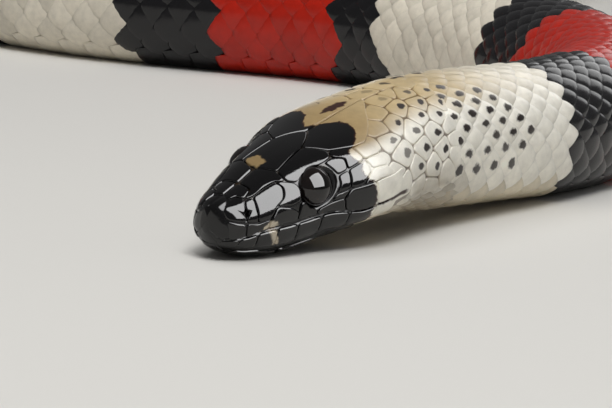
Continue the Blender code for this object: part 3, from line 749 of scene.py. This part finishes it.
def plate(corners, settings, rimEye=True, colour=headColour, luck=1.0, traits=(0, 0, 1.0), lift=0.0):
    # a shield: an outline over the skin, drawn in by the gap, then rings that climb a bevel to its middle.
    # Height at depth d is rise * (1 - exp(-(d / bevel)^2)), plus a low dome that falls off as the square.
    arc = np.array([c[0] for c in corners], float)
    degrees = np.array([c[1] for c in corners], float)
    midArc, midDegrees = arc.mean(), degrees.mean()
    scale = mmPerDegree(midArc, midDegrees)
    x, y = resample(arc, degrees * scale, settings["step"])
    for _ in range(settings["rounding"]):
        x = (np.roll(x, 1) + 2 * x + np.roll(x, -1)) / 4
        y = (np.roll(y, 1) + 2 * y + np.roll(y, -1)) / 4
    tx, ty = np.roll(x, -1) - np.roll(x, 1), np.roll(y, -1) - np.roll(y, 1)
    length = np.hypot(tx, ty) + 1e-9
    turn = np.sign(np.sum(x * np.roll(y, -1) - np.roll(x, -1) * y))
    x, y = x - turn * settings["gap"] * ty / length, y + turn * settings["gap"] * tx / length
    if rimEye:
        x, y = clearRound(x, y / scale, eye["spot"], eye["radius"])
        x, y = clearRound(x, y, nostril["spot"], nostril["radius"])
        y = y * scale
    cx, cy = x.mean(), y.mean()
    far = np.hypot(x - cx, y - cy)
    depths = np.array(plateDepths)
    inner = np.linspace(1, 0, max(2, int(far.max() / settings["step"])))[1:-1]
    shares = [np.maximum(1 - d / far, 0.3) for d in depths]
    shares += [shares[-1] * s for s in inner]
    rimRise = settings["rise"] * (1 - np.exp(-((depths / settings["bevel"]) ** 2)))
    shares = np.array(shares)
    bulge = np.hypot((x - cx) * shares, (y - cy) * shares) / far.max()
    dome = plateDome * (1 - bulge**2)
    outs = np.concatenate([rimRise, np.full(len(inner), settings["rise"])])[:, None] + dome + lift
    outs[0] = -settings["root"]
    outs[1] = lift - 0.02
    px, py = cx + (x - cx) * shares, (cy + (y - cy) * shares) / scale
    rings, count = px.shape
    px = np.concatenate([px.ravel(), [cx, cx]])
    py = np.concatenate([py.ravel(), [cy / scale, cy / scale]])
    outs = np.concatenate([outs.ravel(), [outs[-1].mean() + 0.002, -settings["root"] - 0.05]])
    # toward the tip of the snout the shields lie lower, but not their feet
    outs = outs - 0.16 * (1 - soft(px, 0.3, 3.0)) * (outs > -0.25)
    points = offSkin(px, py, outs, 0.0)
    quads, tris = ringFaces(rings, count)
    if turn < 0:
        quads, tris = quads[:, ::-1], tris[:, ::-1]
    found = colour(px, py)
    tint, black = found if isinstance(found, tuple) else (found * luck, np.zeros(len(px)))
    share = np.concatenate([shares.ravel(), [0, 1]])
    direction = np.concatenate([np.tile(np.arctan2(y - cy, x - cx), rings), [0, 0]])
    grain = np.stack([0.5 + 0.5 * share * np.cos(direction), 0.5 + 0.5 * share * np.sin(direction)], -1)
    given = np.tile(np.array(traits, float), (len(px), 1))
    given[:, 2] = given[:, 2] * (0.35 + 0.65 * black)
    return {
        "points": points, "quads": quads, "tris": tris, "tint": tint, "bake": unwrap(px, py),
        "grain": grain, "traits": given,
    }


def cornerList(names, side):
    # corners by name or as given, on the side asked for
    given = [corner[name] if isinstance(name, str) else name for name in names]
    return [(arc, side * degrees) for arc, degrees in given]


def headPlates():
    # the middle shield once, then each paired shield and upper lip shield on both sides
    parts = []
    for names in middleShields.values():
        right = cornerList(names, 1)
        left = [c for c in cornerList(names, -1)[::-1] if c[1] != 0]
        parts.append(plate(right + left, shields, rimEye=False))
    lips = []
    for entry in upperLips:
        tops = [corner[c] for c in entry if isinstance(c, str)]
        spans = [c for c in entry if not isinstance(c, str)]
        arcs = np.linspace(spans[-1], spans[0], 6)
        lips.append(sorted(tops) + [(a, float(mouthDegrees(a)) - 0.7) for a in arcs])
    for side in (1, -1):
        for names in pairedShields.values():
            parts.append(plate(cornerList(names, side), shields))
        for lip in lips:
            parts.append(plate([(a, side * d) for a, d in lip], shields))
    return parts


def jawPlates():
    # lower lip shields from the line of the mouth down by a set number of degrees, then chin and mental
    parts = []
    for side in (1, -1):
        for front, rear in zip(lowerLips[:-1], lowerLips[1:]):
            arcs = np.linspace(front, rear, 5)
            top = [(a, side * (float(mouthDegrees(a)) + 1.2)) for a in arcs]
            drop = 26 if front < 9 else 22
            low = [(a, side * (float(mouthDegrees(a)) + drop)) for a in arcs[::-1]]
            parts.append(plate(top + low, shields, rimEye=False, lift=jawLift))
        for outline in chinShields:
            parts.append(plate([(a, side * d) for a, d in outline], shields, rimEye=False, lift=jawLift))
    parts.append(plate(mentalShield, shields, rimEye=False, lift=jawLift))
    return parts


headPiece = makeMesh("headShields", headPlates(), scaleSkin)
jawPiece = makeMesh("jawShields", jawPlates(), scaleSkin)


# scales of the nape: flush rounded cells, large behind the head
nape = {
    "step": 0.2,
    "gap": 0.012,
    "rise": 0.09,
    "bevel": 0.06,
    "root": 0.3,
    "rounding": 4,
}
napeNear = (
    # arc length, degrees, strength of the dark spot; strengths below about 0.7 leave the spot grey, a painted
    # highlight on a dark spot
    (14.9, -44, 0), (14.9, -58, 0), (17.2, -46, 0.55), (18.1, -63, 0.55), (17.4, -30, 0), (19.4, -33, 1),
    (19.0, -17, 0), (21.0, -48, 0.6), (21.6, -67, 0.7), (20.3, -81, 1), (21.7, -22, 0.8), (22.9, -36, 1),
    (16.6, -78, 0), (17.9, -92, 0), (20.6, -97, 0), (23.3, -84, 0.8), (23.9, -58, 0.9), (24.6, -72, 0.8),
    (24.1, -26, 0.9), (25.6, -42, 1), (23.1, -100, 0), (21.4, -7, 0.3), (24.2, -12, 0.6), (26.6, -17, 0.8),
    (25.7, -91, 0), (26.6, -33, 1), (26.7, -54, 0), (27.0, -66, 0), (26.9, -79, 0), (22.9, 2, 0), (26.0, 0, 0),
)
napeFront = ((12.6, 58), (12.8, 44), (13.8, 22), (14.4, 90), (16.0, 12), (18.4, 0))
napeBelow = ((18.5, 112), (23, 114), (27, 110))


def voronoi(centres, ghosts, scale):
    # each centre's cell: a square cut by the midlines to its neighbours
    every = np.array([c[:2] for c in (*centres, *ghosts)], float) * (1, scale)
    cells = []
    for k in range(len(centres)):
        cell = every[k] + np.array([(-4, -4), (4, -4), (4, 4), (-4, 4)], float)
        for j in range(len(every)):
            toward = every[j] - every[k]
            if j == k or np.hypot(*toward) > 7 or len(cell) < 3:
                continue
            limit = 0.5 * (every[j] + every[k]) @ toward
            side = limit - cell @ toward
            kept = []
            for a in range(len(cell)):
                b = (a + 1) % len(cell)
                if side[a] >= 0:
                    kept.append(cell[a])
                if side[a] * side[b] < 0:
                    kept.append(cell[a] + (cell[b] - cell[a]) * side[a] / (side[a] - side[b]))
            cell = np.array(kept)
        cells.append(cell / (1, scale))
    return cells


# scales of the back and flanks: overlapping rounded lozenges in rows
coat = {
    "rows": 10,                 # each side of the row along the spine
    "spacing": 10.4,            # degrees between rows
    "start": 27.0,
    "pitch": ((0, 2.95), (45, 2.95), (100, 3.3), (250, 3.7), (450, 3.6), (600, 2.9), (685, 1.7)),
    "thick": 0.44,
    "tilt": 0.11,
    "dome": ((27, 0.26), (64, 0.26), (90, 0.22), (685, 0.18)),
    "sunk": ((27, 0.02), (60, 0.03), (75, 0.17), (600, 0.17), (685, 0.1)),
    "twist": ((0, -6.4), (44, -6.4), (64, 0.0), (685, 0.0)),
    "size": ((27, 1.0), (60, 1.15), (600, 1.0), (685, 0.55)),
    "roundness": 1.55,          # power of the lozenge's outline: 1 is straight-sided, 2 an ellipse
    "hollowShade": ((60, 0.30), (75, 0.15)),   # painted shade: how much darker the hollows between scales are painted
}
# where the collar's spots end, by degrees round from the top
spotRear = (
    (-95, 36), (-85, 38.5), (-70, 41.5), (-58, 40), (-45, 36), (-30, 35), (-20, 30),
    (20, 30), (30, 35), (58, 40), (70, 41.5), (85, 38.5), (95, 36),
)
rowWidths = np.array([1.0] * 8 + [1.25, 1.5, 1.7])
rowMiddles = np.concatenate([[0], np.cumsum((rowWidths[:-1] + rowWidths[1:]) / 2)]) * coat["spacing"]
bellyEdge = rowMiddles[-1] + rowWidths[-1] * coat["spacing"] / 2


def rowLattice(start, end):
    # places along the body every half pitch; even rows take every other one, odd rows those between
    arcs = [coat["start"]]
    while arcs[-1] < form["length"]:
        arcs.append(arcs[-1] + 0.5 * float(np.interp(arcs[-1], *zip(*coat["pitch"]))))
    arcs = np.array(arcs[:-1])
    turnArcs, turns = zip(*coat["twist"])
    found = []
    for row in range(-coat["rows"], coat["rows"] + 1):
        middle = math.copysign(rowMiddles[abs(row)], row)
        own = arcs[abs(row) % 2::2]
        own = own[(own >= start) & (own < end)]
        width = np.full(len(own), rowWidths[abs(row)] * coat["spacing"])
        found.append(np.stack([own, middle + np.interp(own, turnArcs, turns), width], -1))
    return np.concatenate(found)


def lozenge(around, rings):
    # template: rounded lozenge |a|^n + |b|^n = 1, rear tip at a = +1, as rings from the rim to the middle
    turn = np.linspace(0, 2 * math.pi, around, endpoint=False)
    c, s = np.cos(turn), np.sin(turn)
    a = np.sign(c) * np.abs(c) ** (2 / coat["roundness"])
    b = np.sign(s) * np.abs(s) ** (2 / coat["roundness"])
    shares = np.array([0.93, 1.0, *rings])
    level = np.array([-1.0, 0.0, *np.ones(len(rings))])   # -1 underside, 0 edge, 1 top
    quads, tris = ringFaces(len(shares), around)
    share = np.concatenate([np.repeat(shares, around), [0, 0]])
    return {
        "a": np.concatenate([np.outer(shares, a).ravel(), [0, 0]]),
        "b": np.concatenate([np.outer(shares, b).ravel(), [0, 0]]),
        "share": share,
        "level": np.concatenate([np.repeat(level, around), [1, -1]]),
        "quads": quads, "tris": tris,
    }


def scaleField(lattice, template, reach=(0.60, 1.10), dark=1.0):
    # the template laid at every place of the lattice at once: a along the body, b round it, and out by
    # tilt * a + dome * (0.3 - share^2.6), so that each scale rises to its rear tip and rounds off to its rim
    arc, middle, width = [column[:, None] for column in lattice.T]
    pitch = np.interp(arc, *zip(*coat["pitch"]))
    jitter = rng.normal(0, 1, (len(lattice), 3))
    size = np.interp(arc, *zip(*coat["size"]))
    s = arc + template["a"] * pitch * reach[0] + jitter[:, :1] * 0.04
    degrees = middle + template["b"] * width * reach[1] + jitter[:, 1:2] * 0.25
    dome = np.interp(arc, *zip(*coat["dome"]))
    sunk = np.interp(arc, *zip(*coat["sunk"]))
    top = coat["tilt"] * template["a"] + dome * (0.3 - template["share"] ** 2.6)
    edge = coat["tilt"] * template["a"] - dome * 0.7 - 0.03
    under = -coat["thick"]
    out = np.where(template["level"] > 0.5, top, np.where(template["level"] < -0.5, under, edge)) * size - sunk
    points = offSkin(s, degrees, out, 0.0).reshape(-1, 3)
    count, many = len(lattice), len(template["a"])
    step = (np.arange(count) * many)[:, None, None]
    colour = coatColour(arc[:, 0], middle[:, 0], jitter[:, 2]) * dark
    # painted shade: the hollows between scales are darkened a little, most on the pale collar
    shade = 1 - np.interp(arc, *zip(*coat["hollowShade"])) * soft(template["share"], 0.72, 0.98)
    tint = (colour[:, None] * shade[..., None]).reshape(-1, 3)
    spots = spotStrength(arc[:, 0], middle[:, 0])
    isBlack = colour[:, 0] < 0.05
    traits = np.stack([spots, 0 * spots, np.where(isBlack, 0.64, 0.4)], -1)
    own = np.stack([template["a"] + 0 * s, template["b"] + 0 * s], -1)
    bake = unwrap(arc + 0 * s, middle + 0 * s) + bakeMap["patch"] * own
    across = template["b"] * width / coat["spacing"]
    grain = np.stack([0.5 + 0.5 * template["a"] + 0 * s, 0.5 + 0.5 * across], -1)
    return {
        "points": points,
        "quads": (template["quads"][None] + step).reshape(-1, 4),
        "tris": (template["tris"][None] + step).reshape(-1, 3),
        "tint": tint, "bake": bake.reshape(-1, 2), "grain": grain.reshape(-1, 2),
        "traits": np.repeat(traits, many, axis=0),
    }


def coatColour(arc, degrees, luck):
    # one colour a scale, so that the ring borders follow the scales' own edges
    collar = skinColour(arc, degrees)
    found = ringColour(arc, degrees, 0.01)
    found = np.where((arc < collarEnd + 0.6 * np.cos(np.radians(degrees)))[:, None], collar, found)
    return found * (1 + 0.05 * luck)[:, None]


def spotStrength(arc, degrees):
    # a dark spot on nearly every scale of the collar's flanks in front of the line where the spots end
    rear = np.interp(degrees, *zip(*spotRear))
    chance = (arc < rear) & (np.abs(degrees) < 93) & (np.abs(degrees) > 12)
    luck = rng.random(len(arc))
    return np.where(chance & (luck < 0.96), 0.94 + 0.06 * luck, 0.0)


def napePlates():
    # one plate for each cell round the given centres; the ghosts round them only bound the cells
    parts = []
    firstRow = rowLattice(0, 31)[:, :2]
    for side in (-1, 1):
        centres = [(a, side * abs(d), spot) for a, d, spot in napeNear if d < 0 or side < 0]
        ghosts = [(a, d) for a, d in firstRow if a > 28.2]
        ghosts += [(a, side * d) for a, d in napeFront]
        ghosts += [(a, -d) for a, d, _ in centres if abs(d) < 40]
        ghosts += [(a, side * d) for a, d in napeBelow]
        for (_, _, spot), cell in zip(centres, voronoi(centres, ghosts, 0.115)):
            luck = 1 + 0.04 * rng.normal()
            # a spot weaker than full comes out grey: a painted highlight on the dark spot
            traits = (min(1.4 * spot, 1), 0.35, 0.5)
            outline = [(c[0], c[1]) for c in cell]
            parts.append(plate(
                outline, nape, rimEye=False, colour=skinColour, luck=luck, traits=traits, lift=-0.06,
            ))
    return parts


napePiece = makeMesh("napeScales", napePlates(), scaleSkin)

for label, start, end, around, levels in (
    ("scalesNeck", 27.0, 64.0, 20, (0.93, 0.82, 0.62, 0.32)),
    ("scalesFront", 64.0, 200.0, 14, (0.9, 0.7, 0.35)),
    ("scalesMiddle", 200.0, 440.0, 12, (0.88, 0.5)),
    ("scalesRear", 440.0, 683.0, 12, (0.88, 0.5)),
):
    piece = makeMesh(label, [scaleField(rowLattice(start, end), lozenge(around, levels))], scaleSkin)


# throat: narrow lengthwise scales that fold the loose skin behind the jaw
throat = {
    "first": 99.0, "rows": 13, "spacing": 6.75, "pitch": 2.3, "start": 7.2, "end": 28.5,
    "reach": (0.5, 1.05),
    "dark": 0.85,
}


def throatStart(away):
    # where a row of scales may begin: behind the mouth on the flank, else beside or behind the chin shields
    if away < 116:
        return 17.6 + 0.9 * max(0, 106 - away)
    return 7.5 if away < 131 else 10.6


def throatLattice():
    # evenly spaced rows, every other one shifted by half a pitch, the middle one laid once
    found = []
    for side in (-1, 1):
        for row in range(throat["rows"]):
            own = np.arange(throat["start"] + (row % 2) * throat["pitch"] / 2, throat["end"], throat["pitch"])
            middle = side * (throat["first"] + row * throat["spacing"])
            own = own[own > throatStart(abs(middle))] if abs(middle) < 179 or side > 0 else own[:0]
            found.append(np.stack([own, 0 * own + middle, 0 * own + throat["spacing"]], -1))
    return np.concatenate(found)


throatScale = lozenge(14, (0.9, 0.7, 0.35))
throatField = scaleField(throatLattice(), throatScale, throat["reach"], throat["dark"])
throatPiece = makeMesh("throatScales", [throatField], scaleSkin)


# belly scutes
scutes = {
    "start": 25.0,
    "columns": 28,
    "along": (-0.5, -0.2, 0.2, 0.5, 0.60, 0.60, 0.2, -0.5),             # its section, in pitches
    "out": (-0.12, -0.06, -0.01, 0.02, -0.02, -0.2, -0.26, -0.28),      # and in mm off the body
    "rearFloor": 0.16,
}


def buildScutes(start, end):
    # each scute is a closed strip across the belly: a loop of eight points swept from edge to edge
    arcs = [scutes["start"]]
    while arcs[-1] < end:
        arcs.append(arcs[-1] + float(np.interp(arcs[-1], *zip(*coat["pitch"]))))
    arcs = np.array([a for a in arcs[:-1] if a >= start])
    pitch = np.interp(arcs, *zip(*coat["pitch"]))
    loopA, loopOut = np.array(scutes["along"]), np.array(scutes["out"])
    across = np.linspace(-1, 1, scutes["columns"])
    rounded = np.sqrt(np.clip(1 - (np.abs(across) - 0.9).clip(0) ** 2 / 0.0101, 0.02, 1))
    s = arcs[:, None, None] + pitch[:, None, None] * loopA * rounded[:, None] + 0 * across[:, None]
    reach = np.interp(arcs, [25, 32, 685], [36, 180 - bellyEdge + 3, 180 - bellyEdge + 3])
    twist = np.interp(arcs, *zip(*coat["twist"]))[:, None, None]
    degrees = 180 + reach[:, None, None] * across[:, None] + 0 * loopA + twist * 0.5
    out = loopOut + 0 * s - np.interp(s, *zip(*coat["sunk"]))
    floor = np.where(loopOut < -0.15, scutes["rearFloor"], 0.0) + 0 * s
    points = offSkin(s, degrees, out, 0.0)
    points[..., 2] = np.maximum(points[..., 2], floor)
    count, columns, many = s.shape
    quads, _ = ringFaces(columns, many)
    ends = np.array([[0, many - 1 - k, many - 2 - k] for k in range(many - 2)])
    far = np.array([[0, k + 1, k + 2] for k in range(many - 2)]) + (columns - 1) * many
    tris = np.concatenate([ends, far])
    step = (np.arange(count) * columns * many)[:, None, None]
    flatS, flatD = s.reshape(-1), degrees.reshape(-1)
    centre = np.repeat(arcs, columns * many)
    wrapped = (flatD + 180) % 360 - 180
    collar = mix(collarColour(centre, wrapped), tone["belly"], 0.4 + 0 * centre)
    tint = np.where((centre < collarEnd)[:, None], collar, ringColour(centre, wrapped, 0.01))
    black = tint[:, 0] < 0.05
    return {
        "points": points.reshape(-1, 3), "quads": (quads[None] + step).reshape(-1, 4),
        "tris": (tris[None] + step).reshape(-1, 3), "tint": tint,
        "bake": unwrap(centre, wrapped) + bakeMap["patch"] * np.stack([(flatS - centre) / 2, 0 * centre], -1),
        "grain": np.full((len(flatS), 2), 0.5),
        "traits": np.stack([0 * centre, 0 * centre, np.where(black, 0.6, 0.4)], -1),
    }


scutePiece = makeMesh("bellyScutes", [buildScutes(25.0, 681.0)], scaleSkin)


# eyes: a clear bright cap over a near black iris
eyeFinish = {"iris": "120b09", "pupil": "020202", "roughness": 0.02, "specular": 0.6}


def buildEye(side):
    # flattened ball: radius across, thick along the way it looks
    centre, outward, up, along = eyeFrame(side)
    rows, columns = 40, 56   # poles included
    polar = np.linspace(0, math.pi, rows)[1:-1, None]
    turn = np.linspace(0, 2 * math.pi, columns, endpoint=False)[None]
    flat = eye["radius"] * np.sin(polar)[..., None]
    around = np.cos(turn)[..., None] * along + np.sin(turn)[..., None] * up
    points = centre + flat * around + eye["thick"] * np.cos(polar)[..., None] * outward
    poles = np.stack([centre + outward * eye["thick"], centre - outward * eye["thick"]])
    points = np.concatenate([points.reshape(-1, 3), poles])
    quads, tris = ballFaces(rows - 2, columns)
    off = np.concatenate([np.repeat(np.sin(polar[:, 0]), columns), [0, 0]])
    tint = mix(linear(eyeFinish["pupil"]), linear(eyeFinish["iris"]), soft(off, 0.42, 0.50))
    return {
        "points": points, "quads": quads, "tris": tris, "tint": tint,
        "bake": np.stack([0.5 + 0.4 * off, 0.5 + 0 * off], -1), "grain": np.full((len(points), 2), 0.5),
        "traits": np.tile((0.0, 0.0, 1.0), (len(points), 1)),
    }


def eyeMaterial():
    # the wet clear scale over the eye: almost a mirror, over the colour of iris and pupil
    made = bpy.data.materials.new("eyeGloss")
    made.use_nodes = True
    tree = made.node_tree
    shader = tree.nodes["Principled BSDF"]
    tint = node(tree, "ShaderNodeAttribute", {"attribute_name": "tint"})
    tree.links.new(tint.outputs["Color"], shader.inputs["Base Color"])
    shader.inputs["Roughness"].default_value = eyeFinish["roughness"]
    shader.inputs["Specular IOR Level"].default_value = eyeFinish["specular"]
    return made


eyeGloss = eyeMaterial()
for side, name in ((-1, "left"), (1, "right")):
    piece = makeMesh("eyeball_" + name, [buildEye(side)], eyeGloss)
    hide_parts("eye_" + name)


# stage, light and camera
studio = {
    "floor": "d9d7d2",
    "floorRough": 0.6,
    "floorReach": 3.0,   # in metres, each way
    "world": 0.14,
    "target": (0.018, -0.142, 0.006),   # the head
    # the window seen in the eye and shields, and the softer lights that only shape the colour
    "window": {"at": (0.60, -0.42, 0.62), "far": 0.45, "size": 0.52, "power": 7.0, "glossy": True},
    "rim": {"at": (0.45, 0.80, 0.42), "far": 0.55, "size": 0.30, "power": 0.40, "glossy": True},
    "key": {"at": (0.1, -0.35, 0.95), "far": 0.5, "size": 0.24, "power": 1.7, "glossy": False},
    "top": {"at": (-0.3, 0.2, 1.0), "far": 1.2, "size": 0.7, "power": 4.0, "glossy": False},
}


def plainMaterial(name, colour, roughness):
    # matt emulsion paint
    made = bpy.data.materials.new(name)
    made.use_nodes = True
    shader = made.node_tree.nodes["Principled BSDF"]
    shader.inputs["Base Color"].default_value = (*linear(colour), 1)
    shader.inputs["Roughness"].default_value = roughness
    shader.inputs["Specular IOR Level"].default_value = 0.0   # the floor doesn't mirror the window from behind
    return made


def addFloor():
    # one square at the height of the floor
    mesh = bpy.data.meshes.new("floor")
    reach = studio["floorReach"]
    corners = [(-reach, -reach, 0), (reach, -reach, 0), (reach, reach, 0), (-reach, reach, 0)]
    mesh.from_pydata(corners, [], [(0, 1, 2, 3)])
    mesh.materials.append(plainMaterial("floorPaint", studio["floor"], studio["floorRough"]))
    floor = bpy.data.objects.new("floor", mesh)
    bpy.context.scene.collection.objects.link(floor)


def addLight(name, settings, target):
    # a square light at its distance from the target along its direction, seen either in gloss or in matt colour
    data = bpy.data.lights.new(name, "AREA")
    data.shape = "SQUARE"
    data.size = settings["size"]
    data.energy = settings["power"]
    light = bpy.data.objects.new(name, data)
    direction = np.array(settings["at"]) / np.linalg.norm(settings["at"])
    place = np.array(target) + direction * settings["far"]
    light.matrix_world = lookFrom(place, target)
    light.visible_glossy = settings["glossy"]
    light.visible_diffuse = not settings["glossy"]
    light.visible_camera = False
    bpy.context.scene.collection.objects.link(light)


def lookFrom(place, target):
    # matrix whose -Z looks from place to target
    back = np.array(place, float) - np.array(target, float)
    back /= np.linalg.norm(back)
    right = np.cross((0, 0, 1), back)
    right /= np.linalg.norm(right)
    up = np.cross(back, right)
    rows = [[right[k], up[k], back[k], place[k]] for k in range(3)]
    return Matrix([*rows, [0, 0, 0, 1]])


camera = {
    "lens": 169.4,
    "sensor": 36,
    "back": 236,         # mm in front of the head
    "height": 0.046,     # metres
    "pitch": 9.977,
    "roll": 2.4,
}


def addCamera():
    # long lens from a little above the head, pitched down and rolled as in the photograph
    data = bpy.data.cameras.new("camera")
    data.lens = camera["lens"]
    data.sensor_width = camera["sensor"]
    data.clip_start = 0.01
    made = bpy.data.objects.new("camera", data)
    place = (form["shift"][0] * mm, (form["shift"][1] - camera["back"]) * mm, camera["height"])
    pitch, roll = math.radians(camera["pitch"]), math.radians(camera["roll"])
    made.matrix_world = (
        Matrix.Translation(place) @ Matrix.Rotation(math.pi / 2 - pitch, 4, "X") @ Matrix.Rotation(roll, 4, "Z")
    )
    bpy.context.scene.collection.objects.link(made)
    bpy.context.scene.camera = made


def addWorld():
    # even white light from all round
    world = bpy.data.worlds.new("studio")
    world.use_nodes = True
    background = world.node_tree.nodes["Background"]
    background.inputs["Color"].default_value = (1, 1, 1, 1)
    background.inputs["Strength"].default_value = studio["world"]
    bpy.context.scene.world = world


addFloor()
for name in ("window", "rim", "key", "top"):
    addLight(name, studio[name], studio["target"])
addCamera()
addWorld()
bpy.context.scene.view_settings.view_transform = "Standard"
print("floor, lights and camera set")
